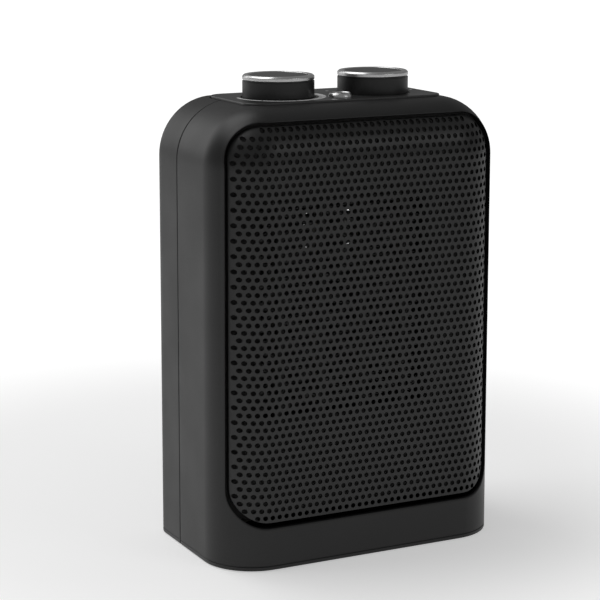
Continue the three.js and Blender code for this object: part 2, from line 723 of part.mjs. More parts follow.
function cordGland() {
  const back = DEPTH / 2;
  const profile = [
    [3.6, SHELL_BACK - 8], [7.6, SHELL_BACK - 8], [7.6, SHELL_BACK - WALL - GAP],
    [6, SHELL_BACK - WALL - GAP], [6, SHELL_BACK + GAP], [8.4, SHELL_BACK + GAP],
    [8.4, back], [3.6, back],
  ];
  return turnedY(profile, GLAND_X, GLAND_Z, 20);
}

const TERMINAL_XS = [34, 38, 42];
const TERMINAL_Y = 25;
const TERMINAL_TOP = 20;

function terminalBlock() {
  const body = block([30, 46], [TERMINAL_Y - 5, TERMINAL_Y + 5], [6, TERMINAL_TOP]);
  const ways = TERMINAL_XS.map((x) =>
    block([x - 1.2, x + 1.2], [TERMINAL_Y - 6, TERMINAL_Y + 6], [12, 15]));
  return cut(body, ...ways);
}

// Insulated leads, each one smooth run that stops just short of the tabs it joins.
const LEAD_RADIUS = 1.1;

function lead(points) {
  const section = new THREE.Shape();
  section.absarc(0, 0, LEAD_RADIUS, 0, 4 * QUARTER);
  const extrudePath = new THREE.CatmullRomCurve3(points.map((p) => new THREE.Vector3(...p)));
  const steps = 4 * (points.length - 1);
  return solid(new THREE.ExtrudeGeometry(section, { steps, extrudePath, curveSegments: 4 }));
}

const LEAD_END = TERMINAL_TOP + 0.4;
const SIDE_RUN_X = 60;
const SIDE_RUN_Y = 32;
const leadRuns = {
  lead_terminal_to_mode_switch: [
    [TERMINAL_XS[2], TERMINAL_Y, LEAD_END], [46, 27, 34], [SIDE_RUN_X, SIDE_RUN_Y, 64],
    [SIDE_RUN_X, SIDE_RUN_Y, 120], [SIDE_RUN_X, SIDE_RUN_Y, 176], [46, 14, 200],
    [KNOB_X + 6, KNOB_Y - 6.5, 206.6],
  ],
  lead_mode_switch_to_heater: [
    [KNOB_X - 6, KNOB_Y - 6.5, 206.6], [KNOB_X - 8, KNOB_Y - 8, 202],
    [BAR_PITCH / 2, CORE_BACK - 7, CORE_TOP + FRAME_RIM + 1.4],
  ],
  lead_terminal_to_thermostat: [
    [TERMINAL_XS[0], TERMINAL_Y, LEAD_END], [26, TERMINAL_Y, 40], [-26, 30, 50],
    [-SIDE_RUN_X, SIDE_RUN_Y, 78], [-SIDE_RUN_X, SIDE_RUN_Y, 130],
    [-SIDE_RUN_X, SIDE_RUN_Y, 178], [-50, 14, 197], [-KNOB_X - 17, KNOB_Y, 203.6],
  ],
  lead_terminal_to_motor: [
    [TERMINAL_XS[1], TERMINAL_Y, LEAD_END], [34, 31, 40], [12, 33, 70],
    [6, STACK_FRONT + 5, COIL_BOTTOM - 0.4],
  ],
  lead_tip_switch: [
    [TIP_X + 4, TIP_Y, TIP_TAB_TOP + 1.4], [-30, 34, 38], [0, 36, 36], [30, 36, 26],
    [TERMINAL_XS[0], TERMINAL_Y + 6.2, 13.5],
  ],
};

function foot() {
  const top = SHELL_BASE + 1.1;
  const profile = [[0, 0], [FOOT_RADIUS - 0.5, 0], [FOOT_RADIUS, 0.5], [FOOT_RADIUS, top], [0, top]];
  return turnedZ(profile, 0, 0, 16);
}

function caseScrew() {
  const seat = SEAM + SEAM_GAP / 2 + 5 + GAP;
  const head = rodY(2.9, seat, seat + 2.2, 0, 0, 16);
  const shank = rodY(1.5, seat - 15, seat + 0.5, 0, 0, 12);
  const slot = block([-0.4, 0.4], [seat + 1.2, seat + 3], [-2, 2]);
  return cut(join(head, shank), slot, block([-2, 2], [seat + 1.2, seat + 3], [-0.4, 0.4]));
}

// ---- The whole heater ----
const heater = new THREE.Group();
heater.add(
  piece('front_shell', frontShell(), housingBlack),
  piece('rear_shell', rearShell(), housingBlack),
  piece('outlet_grille', outletGrille(), grilleBlack),
  piece('control_panel', controlPanel(), panelBlack),
  knobSet('thermostat', -1),
  knobSet('mode', 1),
  piece('thermostat_body', thermostatBody(), switchWhite),
  piece('mode_switch_body', modeSwitchBody(), innerPlastic),
  piece('lamp_bezel', lampBezel(), satinSilver),
  piece('lamp_lens', lampLens(), smokedLens),
  piece('lamp_holder', rodZ(4.4, 224, 236.2, 0, LAMP_Y), switchWhite),
  heatingCore(),
  piece('thermal_cutout', thermalCutout(), steel),
  fanAndMotor(),
  piece('tip_switch_body', tipSwitchBody(), switchWhite),
  piece('tip_plunger', tipPlunger(), innerPlastic),
  piece('tip_spring', tipSpring(), steel),
  piece('cord_gland', cordGland(), rubberBlack),
  piece('terminal_block', terminalBlock(), switchWhite),
  ...Object.entries(leadRuns).map(([name, run]) => piece(name, lead(run), innerPlastic)),
);
[['left', -1], ['right', 1]].forEach(([name, side]) => {
  heater.add(placed(piece(`foot_front_${name}`, foot(), rubberBlack), side * FOOT_X, FOOT_Y[0], 0));
  heater.add(placed(piece(`foot_rear_${name}`, foot(), rubberBlack), side * FOOT_X, FOOT_Y[1], 0));
});
screwPlaces.forEach(([x, z], i) => {
  heater.add(placed(piece(`case_screw_${i + 1}`, caseScrew(), steel), x, 0, z));
});

export default heater;
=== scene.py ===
import json
import math

import bmesh
import bpy
import numpy as np
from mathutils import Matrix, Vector
from mathutils.geometry import delaunay_2d_cdt


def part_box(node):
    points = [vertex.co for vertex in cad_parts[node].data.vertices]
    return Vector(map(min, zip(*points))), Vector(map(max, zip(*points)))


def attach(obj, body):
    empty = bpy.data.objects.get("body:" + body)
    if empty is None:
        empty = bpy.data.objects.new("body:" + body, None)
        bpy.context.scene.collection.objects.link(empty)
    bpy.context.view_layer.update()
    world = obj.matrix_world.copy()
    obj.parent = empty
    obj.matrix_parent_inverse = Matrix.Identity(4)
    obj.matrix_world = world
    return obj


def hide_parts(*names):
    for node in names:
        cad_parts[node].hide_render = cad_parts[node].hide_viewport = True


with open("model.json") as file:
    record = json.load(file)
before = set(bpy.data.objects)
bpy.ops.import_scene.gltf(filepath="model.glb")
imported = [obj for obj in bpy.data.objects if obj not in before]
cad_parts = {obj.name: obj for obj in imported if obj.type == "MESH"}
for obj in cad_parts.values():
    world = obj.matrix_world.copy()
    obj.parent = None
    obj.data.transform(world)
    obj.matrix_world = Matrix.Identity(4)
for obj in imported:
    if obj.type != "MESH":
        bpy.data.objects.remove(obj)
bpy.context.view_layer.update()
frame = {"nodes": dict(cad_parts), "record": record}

MM = 0.001

# ---------------------------------------------------------------------------
# Dimensions: places come from the frame's boxes, and the form's own radii are named here.
# ---------------------------------------------------------------------------
FRONT_LOW, FRONT_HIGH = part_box("front_shell")
REAR_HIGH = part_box("rear_shell")[1]
GRILLE_LOW, GRILLE_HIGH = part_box("outlet_grille")
PANEL_LOW, PANEL_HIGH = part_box("control_panel")

HALF_WIDTH = REAR_HIGH.x
TOP = REAR_HIGH.z
BASE = FRONT_LOW.z
FRONT = FRONT_LOW.y
BACK = REAR_HIGH.y
TOP_CORNER = 30.5 * MM
FRONT_FILLET = 27.7 * MM
REAR_FILLET = 10 * MM
BASE_EDGE = 0.6 * MM
SHOULDER = BASE + BASE_EDGE
WALL = 2.4 * MM
DRAFT = 0.047
STRAIGHT_HEIGHT = 100 * MM
SEAM_FRONT = FRONT_HIGH.y
SEAM_GAP = 0.6 * MM
SEAM_REAR = SEAM_FRONT + SEAM_GAP
SEAM_ROUND = 0.4 * MM

GROOVE = 2.0 * MM
LOW_GROOVE = 2.8 * MM
OPEN_HALF_WIDTH = GRILLE_HIGH.x / (1 - DRAFT * STRAIGHT_HEIGHT) + GROOVE
OPEN_BOTTOM = GRILLE_LOW.z - LOW_GROOVE
OPEN_TOP = GRILLE_HIGH.z + GROOVE
OPEN_CORNER = 19.5 * MM
LIP_ROUND = 1.2 * MM

SHEET_RECESS = 0.9 * MM
SHEET_SIDE = 3 * MM
SHEET_FILLET = 25 * MM
SHEET = 1.0 * MM
FLANGE = 0.9 * MM
FLANGE_DEPTH = 2.5 * MM
HOLE_RADIUS = 1.3 * MM
HOLE_SIDES = 12
HOLE_PITCH = 3.893 * MM
HOLE_RISE = 0.9 * MM
HOLE_ROWS = range(7, 59)
HOLE_COLUMNS = 38

PANEL_CORNER = 9.5 * MM
POCKET_GAP = 0.5 * MM
KNOBS = {"thermostat": "thermostat_dial", "mode": "mode_dial"}
DISH_DEPTH = 1.0 * MM
PRINT_LOW = PANEL_HIGH.z - 0.02 * MM
PRINT_HIGH = PANEL_HIGH.z + 0.06 * MM


# ---------------------------------------------------------------------------
# Mesh helpers
# ---------------------------------------------------------------------------
def make_object(name, verts, faces):
    """A mesh object from numpy points and index lists, with doubles merged and faces pointing out."""
    mesh = bpy.data.meshes.new(name)
    mesh.from_pydata([tuple(v) for v in verts], [], [tuple(f) for f in faces])
    piece = bpy.data.objects.new(name, mesh)
    bpy.context.scene.collection.objects.link(piece)
    clean(piece)
    return piece


def clean(piece):
    work = bmesh.new()
    work.from_mesh(piece.data)
    bmesh.ops.remove_doubles(work, verts=work.verts, dist=2e-6)
    bmesh.ops.dissolve_degenerate(work, edges=work.edges, dist=1e-7)
    bmesh.ops.recalc_face_normals(work, faces=work.faces)
    work.to_mesh(piece.data)
    work.free()


def smooth(piece, angle=32):
    """Smooth shading with creases kept, and normals that follow the larger faces."""
    piece.data.shade_smooth()
    piece.data.set_sharp_from_angle(angle=math.radians(angle))
    weighted = piece.modifiers.new("weighted", "WEIGHTED_NORMAL")
    weighted.keep_sharp = True
    apply_modifiers(piece)
    return piece


def apply_modifiers(piece):
    graph = bpy.context.evaluated_depsgraph_get()
    made = bpy.data.meshes.new_from_object(piece.evaluated_get(graph))
    piece.modifiers.clear()
    piece.data = made


def boolean(piece, tool, operation):
    """Joins or cuts with an exact boolean and removes the tool."""
    modifier = piece.modifiers.new("boolean", "BOOLEAN")
    modifier.operation = operation
    modifier.solver = "EXACT"
    modifier.object = tool
    apply_modifiers(piece)
    bpy.data.objects.remove(tool)


def joined(name, pieces):
    """Several separate closed bodies as one object."""
    verts, faces = [], []
    for piece in pieces:
        start = len(verts)
        verts += [tuple(v.co) for v in piece.data.vertices]
        faces += [[start + i for i in polygon.vertices] for polygon in piece.data.polygons]
        bpy.data.objects.remove(piece)
    return make_object(name, verts, faces)


def finish_piece(piece, body, slot, material, *nodes):
    """Gives a piece its material and its body, and hides the CAD nodes it stands for; the slot is not used.
    """
    piece.data.materials.clear()
    piece.data.materials.append(material)
    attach(piece, body)
    if nodes:
        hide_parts(*nodes)


def turned(name, profile, centre, sides=96, axis="Z"):
    """A profile of (radius, height) points turned about an axis through centre."""
    rings = []
    for radius, height in profile:
        for i in range(sides):
            angle = 2 * math.pi * i / sides
            a, b = radius * math.cos(angle), radius * math.sin(angle)
            point = (a, b, height) if axis == "Z" else (a, height, b)
            rings.append(tuple(c + p for c, p in zip(centre, point)))
    faces = []
    count = len(profile)
    for k in range(count):
        after = (k + 1) % count
        if profile[k][0] == 0 and profile[after][0] == 0:
            continue
        for i in range(sides):
            j = (i + 1) % sides
            faces.append([k * sides + i, k * sides + j, after * sides + j, after * sides + i])
    return make_object(name, rings, faces)


def rounded_profile(points, radius, steps=4):
    """A profile polygon with each listed corner rounded; a point is (radius, height, rounding)."""
    out = []
    count = len(points)
    for i, point in enumerate(points):
        here = Vector(point[:2])
        size = point[2] if len(point) > 2 else 0
        if not size:
            out.append(tuple(here))
            continue
        before, after = Vector(points[i - 1][:2]), Vector(points[(i + 1) % count][:2])
        start = here + (before - here).normalized() * size * radius
        end = here + (after - here).normalized() * size * radius
        for k in range(steps + 1):
            t = k / steps
            out.append(tuple(start * (1 - t) ** 2 + here * 2 * t * (1 - t) + end * t ** 2))
    return out


def arc(centre, radius, start, end, steps):
    """Points along an arc; angles in degrees."""
    angles = np.radians(np.linspace(start, end, steps + 1))
    return [(centre[0] + radius * math.cos(a), centre[1] + radius * math.sin(a)) for a in angles]


def rounded_rectangle(low, high, corner, steps=8):
    """The outline of a rectangle with round corners, counter-clockwise."""
    (x0, v0), (x1, v1) = low, high
    out = arc((x1 - corner, v0 + corner), corner, -90, 0, steps)
    out += arc((x1 - corner, v1 - corner), corner, 0, 90, steps)
    out += arc((x0 + corner, v1 - corner), corner, 90, 180, steps)
    out += arc((x0 + corner, v0 + corner), corner, 180, 270, steps)
    return out


def inset_outline(outline, amount):
    """A closed convex outline moved inwards by amount."""
    points = np.array(outline)
    forward = np.roll(points, -1, 0) - points
    forward /= np.maximum(np.linalg.norm(forward, axis=1), 1e-12)[:, None]
    back = np.roll(forward, 1, 0)
    normal = np.stack([-(forward + back)[:, 1], (forward + back)[:, 0]], 1)
    length = np.linalg.norm(normal, axis=1)
    normal /= np.maximum(length, 1e-12)[:, None]
    return points + normal * (amount / np.maximum(length / 2, 0.5))[:, None]


def prism(name, outline, low, high, axis="Z", round_high=0, steps=4):
    """An outline pulled along an axis, with its high edge rounded."""
    levels = [(0, low)]
    for k in range(steps + 1):
        if not round_high and k:
            break
        angle = math.pi / 2 * (1 - k / steps)
        levels.append((round_high * (1 - math.sin(angle)), high - round_high * (1 - math.cos(angle))))
    verts, faces = [], []
    for amount, height in levels:
        ring = inset_outline(outline, amount) if amount else np.array(outline)
        for a, b in ring:
            verts.append((a, b, height) if axis == "Z" else (a, height, b))
    count = len(outline)
    for level in range(len(levels) - 1):
        for i in range(count):
            j = (i + 1) % count
            faces.append([level * count + i, level * count + j,
                          (level + 1) * count + j, (level + 1) * count + i])
    faces.append(list(range(count)))
    faces.append([(len(levels) - 1) * count + i for i in range(count)])
    return make_object(name, verts, faces)


def capsule_outline(x0, x1, v0, v1, steps=6):
    """A slot outline with round ends."""
    radius = (v1 - v0) / 2
    middle = (v0 + v1) / 2
    return (arc((x1 - radius, middle), radius, -90, 90, 2 * steps)
            + arc((x0 + radius, middle), radius, 90, 270, 2 * steps))


# ---------------------------------------------------------------------------
# The housing's form: a front view outline whose front and rear edges are rounded off
# ---------------------------------------------------------------------------
def fillet_rise(inset, radius):
    """How far back the rounded edge lies at this inset from the outline."""
    left = radius - np.clip(inset, 0, radius)
    return radius - np.sqrt(np.maximum(radius * radius - left * left, 0))


def outline_inset(x, z):
    """Distance inwards from the front view outline, whose top corners are round."""
    ax = np.abs(x)
    cx, cz = HALF_WIDTH - TOP_CORNER, TOP - TOP_CORNER
    corner = TOP_CORNER - np.hypot(np.maximum(ax - cx, 0), np.maximum(z - cz, 0))
    flat = np.minimum(HALF_WIDTH - ax, TOP - z)
    return np.where((ax > cx) & (z > cz), corner, flat)


def front_y(x, z, inset=0.0):
    """The front surface, or the surface that lies inset behind it."""
    radius = FRONT_FILLET - inset
    return FRONT + inset + fillet_rise(outline_inset(x, z) - inset, radius)


def sheet_y(x, z, inset=0.0):
    """The grille sheet's front surface, which turns in at its sides sooner than the housing."""
    radius = SHEET_FILLET - inset
    depth = outline_inset(x, z) - SHEET_SIDE - inset
    return FRONT + SHEET_RECESS + inset + fillet_rise(depth, radius)


def front_normal(x, z, inset=0.0, surface=front_y):
    """Outward normals of a front surface."""
    step = 0.02 * MM
    dx = (surface(x + step, z, inset) - surface(x - step, z, inset)) / (2 * step)
    dz = (surface(x, z + step, inset) - surface(x, z - step, inset)) / (2 * step)
    normal = np.stack([dx, -np.ones_like(dx), dz], -1)
    return normal / np.linalg.norm(normal, axis=-1, keepdims=True)


def drafted(points):
    """The sides lean in slightly towards the top."""
    points = np.array(points, float)
    points[..., 0] *= 1 - DRAFT * (points[..., 2] - SHOULDER)
    return points


def arch(low, side_steps, corner_steps, top_steps):
    """The outline from the left foot over the top to the right foot: points and outward normals."""
    cx, cz = HALF_WIDTH - TOP_CORNER, TOP - TOP_CORNER
    left = [(-HALF_WIDTH, z, -1.0, 0.0) for z in np.linspace(low, cz, side_steps + 1)[:-1]]
    corner = []
    for a in np.radians(np.linspace(180, 90, corner_steps + 1)):
        c, s = math.cos(a), math.sin(a)
        corner.append((-cx + TOP_CORNER * c, cz + TOP_CORNER * s, c, s))
    top = [(x, TOP, 0.0, 1.0) for x in np.linspace(-cx, 0, top_steps + 1)[1:]]
    half = left + corner + top
    return np.array(half + [(-x, z, -nx, nz) for x, z, nx, nz in half[-2::-1]])


def lip_inset(path):
    """Distance from the outline in to the grille opening, along each normal."""
    _, _, nx, nz = path.T
    side = np.maximum(np.abs(nx), 1e-9)
    rise = np.maximum(nz, 1e-9)
    cx, cz = HALF_WIDTH - TOP_CORNER, TOP - TOP_CORNER
    open_x, open_z = OPEN_HALF_WIDTH - OPEN_CORNER, OPEN_TOP - OPEN_CORNER
    gap_x, gap_z = cx - open_x, cz - open_z
    along = side * gap_x + nz * gap_z
    curved = -along + np.sqrt(along ** 2 - gap_x ** 2 - gap_z ** 2 + OPEN_CORNER ** 2)
    to_side = (OPEN_HALF_WIDTH - cx) / side
    to_top = (OPEN_TOP - cz) / rise
    on_top = cx + to_top * side <= open_x
    reach = np.where(cz + to_side * nz <= open_z, to_side, np.where(on_top, to_top, curved))
    straight = np.where(nz == 0, HALF_WIDTH - OPEN_HALF_WIDTH, TOP - OPEN_TOP)
    return np.where((nz == 0) | (nx == 0), straight, TOP_CORNER - reach)


def fillet_columns(inset_end, radius, face, direction, seam, straight, curved):
    """Plan profile from the seam round the edge: insets, Y places and plan normals (in, out)."""
    tangent = face - direction * radius
    ys = np.linspace(seam, tangent, straight + 1)[:-1]
    columns = [(0.0, y, -1.0, 0.0) for y in ys]
    last = math.acos((radius - inset_end) / radius)
    for angle in np.linspace(0, last, curved + 1):
        c, s = math.cos(angle), math.sin(angle)
        columns.append((radius * (1 - c), tangent + direction * radius * s, -c, direction * s))
    return columns


# Down the foot of the wall: inset and height above the base, in millimetres. A fine groove
# sets off the lowest strip.
BASE_PROFILE = (
    (0, 2.9), (0, 2.6), (0.35, 2.35), (0.35, 2.2), (0, 1.9), (0, 0.6), (0.17, 0.17), (0.6, 0),
)


def foot_rows(base):
    """Insets and heights down the foot of a wall that ends at base."""
    return [(amount * MM, base + rise * MM) for amount, rise in BASE_PROFILE]


class Grid:
    """Collects points and faces of one open surface."""

    def __init__(self):
        self.points = []
        self.faces = []

    def add(self, rows):
        """Adds a block of rows of points and returns their indices."""
        rows = np.array(rows, float)
        start = len(self.points)
        self.points.extend(rows.reshape(-1, 3).tolist())
        return np.arange(start, start + rows.shape[0] * rows.shape[1]).reshape(rows.shape[:2])

    def skin(self, index):
        for a, b in zip(index[:-1], index[1:]):
            for i in range(len(a) - 1):
                self.faces.append([a[i], a[i + 1], b[i + 1], b[i]])


def base_rows(columns, base):
    """The foot of the wall and the underside: rows of points down and in to the seam line."""
    rows = []
    for amount, z in foot_rows(base):
        rows.append([(x - amount * nx, y - amount * ny, z) for x, y, nx, ny in columns])
    foot = rows[-1]
    seam_y = columns[0][1]
    xs = np.linspace(foot[0][0], foot[-1][0], len(columns))
    rows.append([(x, seam_y, foot[0][2]) for x in xs])
    return rows


def front_surface(inset, lip_round):
    """The front shell's skin at one depth of its wall. Returns the grid, its lip and its seam."""
    grid = Grid()
    corner_z = OPEN_BOTTOM + OPEN_CORNER
    radius = FRONT_FILLET - inset
    path = arch(corner_z, 30, 16, 20)
    lips = lip_inset(path) - lip_round - inset
    seam = SEAM_FRONT - (SEAM_ROUND if not inset else 0)
    straight, curved = 10, 14
    rows = []
    for (px, pz, nx, nz), lip in zip(path, lips):
        row = []
        for d, y, _, _ in fillet_columns(lip, radius, FRONT + inset, -1, seam, straight, curved):
            row.append((px - (d + inset) * nx, y, pz - (d + inset) * nz))
        rows.append(row)
    upper = grid.add(drafted(rows))
    grid.skin(upper)

    side = HALF_WIDTH - OPEN_HALF_WIDTH
    half = HALF_WIDTH - inset
    side_columns = []
    profile = fillet_columns(side - lip_round - inset, radius, FRONT + inset, -1, seam, straight, curved)
    for d, y, nx, ny in profile:
        side_columns.append((-half + d, y, nx, ny, corner_z))
    middle = []
    reach = OPEN_CORNER + lip_round
    cx = OPEN_HALF_WIDTH - OPEN_CORNER
    for angle in np.radians(np.linspace(0, 90, 15))[1:]:
        middle.append((-cx - reach * math.cos(angle), corner_z - reach * math.sin(angle)))
    middle += [(x, OPEN_BOTTOM - lip_round) for x in np.linspace(-cx, 0, 13)[1:]]
    middle += [(-x, z) for x, z in middle[-2::-1]]
    inner_columns = []
    for x, top in middle:
        y = float(front_y(np.array(x), np.array(STRAIGHT_HEIGHT), inset))
        normal = front_normal(np.array(x), np.array(STRAIGHT_HEIGHT), inset)
        inner_columns.append((x, y, normal[0], normal[1], top))
    right = [(-x, y, -nx, ny, top) for x, y, nx, ny, top in side_columns[::-1]]
    columns = side_columns + inner_columns + right
    low = foot_rows(BASE + inset)[0][1]
    steps = 10
    rows = []
    for k in range(steps + 1):
        t = 1 - k / steps
        rows.append([(x, y, low + (top - low) * t) for x, y, _, _, top in columns])
    rows += base_rows([c[:4] for c in columns], BASE + inset)[1:]
    lower = grid.add(drafted(rows))
    grid.skin(lower)
    count = len(side_columns)
    total = len(columns)
    lip = list(upper[:, -1]) + list(lower[0][total - count + 1:total - count + 1])
    lip += list(lower[0][count - 1:total - count + 1][::-1])
    seam_loop = list(lower[::-1, 0]) + list(upper[1:-1, 0]) + list(lower[:, -1])
    seam_loop += list(lower[-1][::-1])[1:-1]
    return grid, lip, seam_loop


def rear_surface(inset):
    """The rear shell's skin at one depth of its wall. Returns the grid and its seam."""
    grid = Grid()
    low = foot_rows(BASE + inset)[0][1]
    radius = REAR_FILLET - inset
    seam = SEAM_REAR + (SEAM_ROUND if not inset else 0)
    profile = fillet_columns(radius, radius, BACK - inset, 1, seam, 10, 10)
    rows = []
    for px, pz, nx, nz in arch(low, 40, 16, 20):
        rows.append([(px - (d + inset) * nx, y, pz - (d + inset) * nz) for d, y, _, _ in profile])
    upper = grid.add(drafted(rows))
    grid.skin(upper)
    grid.faces.append(list(upper[:, -1]))
    half = HALF_WIDTH - inset
    left = [(-half + d, y, nx, ny) for d, y, nx, ny in profile]
    columns = left + [(-x, y, -nx, ny) for x, y, nx, ny in left[::-1]]
    lower = grid.add(drafted(base_rows(columns, BASE + inset)))
    grid.skin(lower)
    seam_loop = list(lower[::-1, 0]) + list(upper[1:-1, 0]) + list(lower[:, -1])
    seam_loop += list(lower[-1][::-1])[1:-1]
    return grid, seam_loop


def walled(name, outside, inside, bridges):
    """Joins an outer and an inner skin into one closed wall along the given rings."""
    verts = outside.points + inside.points
    shift = len(outside.points)
    faces = [list(f) for f in outside.faces] + [[shift + i for i in f[::-1]] for f in inside.faces]
    for rings in bridges:
        loops = []
        for ring in rings:
            if isinstance(ring, np.ndarray):
                loops.append(list(range(len(verts), len(verts) + len(ring))))
                verts = verts + ring.tolist()
            else:
                loops.append(ring)
        for one, two in zip(loops[:-1], loops[1:]):
            count = len(one)
            for i in range(count):
                j = (i + 1) % count
                faces.append([one[i], one[j], two[j], two[i]])
    return make_object(name, verts, faces)


def eased(start, corner, end, steps=5):
    """Rings between two rings that round off the corner ring between them."""
    rings = []
    for k in range(1, steps + 1):
        t = k / steps
        rings.append(start * (1 - t) ** 2 + corner * (2 * t * (1 - t)) + end * t ** 2)
    return rings


def seam_rings(grid, seam, inside, inner_seam, y):
    """Rounds the wall's outer edge at the seam."""
    start = np.array([grid.points[i] for i in seam])
    inner = np.array([inside.points[i] for i in inner_seam])
    corner = start.copy()
    corner[:, 1] = y
    inward = inner - corner
    inward[:, 1] = 0
    inward /= np.linalg.norm(inward, axis=1, keepdims=True)
    return eased(start, corner, corner + SEAM_ROUND * inward, 4)


def front_shell():
    outside, lip, seam = front_surface(0.0, LIP_ROUND)
    inside, inner_lip, inner_seam = front_surface(WALL, 0.0)
    start = np.array([outside.points[i] for i in lip])
    inner = np.array([inside.points[i] for i in inner_lip])
    corner = inner.copy()
    corner[:, 1] = front_y(inner[:, 0], inner[:, 2])
    end = corner + np.array([0, LIP_ROUND, 0])
    shift = len(outside.points)
    lip_rings = [lip, *eased(start, corner, end), [shift + i for i in inner_lip]]
    rings = seam_rings(outside, seam, inside, inner_seam, SEAM_FRONT)
    seam_bridge = [seam, *rings, [shift + i for i in inner_seam]]
    return walled("front_shell_skin", outside, inside, [lip_rings, seam_bridge])


def rear_shell():
    outside, seam = rear_surface(0.0)
    inside, inner_seam = rear_surface(WALL)
    shift = len(outside.points)
    rings = seam_rings(outside, seam, inside, inner_seam, SEAM_REAR)
    seam_bridge = [seam, *rings, [shift + i for i in inner_seam]]
    return walled("rear_shell_skin", outside, inside, [seam_bridge])


# ---------------------------------------------------------------------------
# Cuts in the shells
# ---------------------------------------------------------------------------
def panel_outline(grow):
    low = (PANEL_LOW.x - grow, PANEL_LOW.y - grow)
    high = (PANEL_HIGH.x + grow, PANEL_HIGH.y + grow)
    return rounded_rectangle(low, high, PANEL_CORNER)


def panel_pocket(name):
    low, high = PANEL_LOW.z - 0.3 * MM, PANEL_HIGH.z + 5 * MM
    return prism(name, panel_outline(POCKET_GAP), low, high)


def rod_tool(name, node, grow, low, high, axis):
    """A round cutter on the axis of a CAD node."""
    a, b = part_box(node)
    middle = (a + b) / 2
    radius = (b.x - a.x) / 2 + grow
    centre = (middle.x, middle.y, 0) if axis == "Z" else (middle.x, 0, middle.z)
    return turned(name, [(0, low), (radius, low), (radius, high), (0, high)], centre, 32, axis)


SLOT_ROWS = 15
SLOT_PITCH = 6.6 * MM
SLOT_HEIGHT = 3.4 * MM
SLOT_INNER = 2 * MM
SLOT_OUTER = 54 * MM


def intake_slots():
    """Two banks of round-ended slots, centred on the fan."""
    fan_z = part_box("motor_shaft")
    middle = (fan_z[0].z + fan_z[1].z) / 2
    slots = []
    for row in range(SLOT_ROWS):
        z = middle + (row - (SLOT_ROWS - 1) / 2) * SLOT_PITCH
        for side in (-1, 1):
            x0, x1 = sorted((side * SLOT_INNER, side * SLOT_OUTER))
            outline = capsule_outline(x0, x1, z - SLOT_HEIGHT / 2, z + SLOT_HEIGHT / 2)
            slots.append(prism("slot", outline, BACK - WALL - 1 * MM, BACK + 1 * MM, "Y"))
    return joined("slots", slots)


def cut_shells(front, rear):
    for shell in (front, rear):
        boolean(shell, panel_pocket("pocket"), "DIFFERENCE")
    feet = {"front": front, "rear": rear}
    for end, shell in feet.items():
        tools = [rod_tool("foot", f"foot_{end}_{side}", 0.3 * MM, 0, 1.7 * MM, "Z")
                 for side in ("left", "right")]
        boolean(shell, joined("feet", tools), "DIFFERENCE")
    screws = [f"case_screw_{i}" for i in (1, 2, 3, 4)]
    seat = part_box(screws[0])[1].y - 2.2 * MM
    sleeves = [rod_tool("sleeve", s, 1.7 * MM, seat - 3 * MM, BACK - 1 * MM, "Y") for s in screws]
    boolean(rear, joined("sleeves", sleeves), "UNION")
    ways = [rod_tool("way", s, 0.5 * MM, seat - 0.2 * MM, BACK + 1 * MM, "Y") for s in screws]
    boolean(rear, joined("ways", ways), "DIFFERENCE")
    boolean(rear, intake_slots(), "DIFFERENCE")
    gland = rod_tool("gland", "cord_gland", -2.1 * MM, BACK - 6 * MM, BACK + 1 * MM, "Y")
    boolean(rear, gland, "DIFFERENCE")
    plunger = rod_tool("plunger", "tip_plunger", 0.6 * MM, -1 * MM, 8 * MM, "Z")
    boolean(rear, plunger, "DIFFERENCE")


# ---------------------------------------------------------------------------
# The perforated outlet grille
# ---------------------------------------------------------------------------
def grille_outline():
    """The sheet's outline in front view, sampled closely enough to follow its curve."""
    low = (-(OPEN_HALF_WIDTH - GROOVE), OPEN_BOTTOM + LOW_GROOVE)
    high = (OPEN_HALF_WIDTH - GROOVE, OPEN_TOP - GROOVE)
    coarse = rounded_rectangle(low, high, OPEN_CORNER - GROOVE, steps=14)
    out = []
    for a, b in zip(coarse, coarse[1:] + coarse[:1]):
        parts = max(1, round(math.dist(a, b) / (2.5 * MM)))
        out += [(a[0] + (b[0] - a[0]) * k / parts, a[1] + (b[1] - a[1]) * k / parts)
                for k in range(parts)]
    return out


def inside_rounded(x, z, margin):
    """True where a point lies inside the sheet's outline by at least margin."""
    half = OPEN_HALF_WIDTH - GROOVE - margin
    low, high = OPEN_BOTTOM + LOW_GROOVE + margin, OPEN_TOP - GROOVE - margin
    if abs(x) > half or z < low or z > high:
        return False
    radius = OPEN_CORNER - GROOVE - margin
    dx = abs(x) - (half - radius)
    for edge, sign in ((low, 1), (high, -1)):
        dz = (edge + sign * radius - z) * sign
        if dx > 0 and dz > 0 and math.hypot(dx, dz) > radius:
            return False
    return True


def hole_centres():
    """A staggered grid of holes: every other row is shifted by half a pitch."""
    centres = []
    for row in HOLE_ROWS:
        z = row * HOLE_PITCH + HOLE_RISE
        for k in range(-HOLE_COLUMNS, HOLE_COLUMNS + 1):
            x = k * HOLE_PITCH / 2
            if (k + row) % 2 == 0 and inside_rounded(x, z, HOLE_RADIUS + 0.15 * MM):
                centres.append((x, z))
    return centres


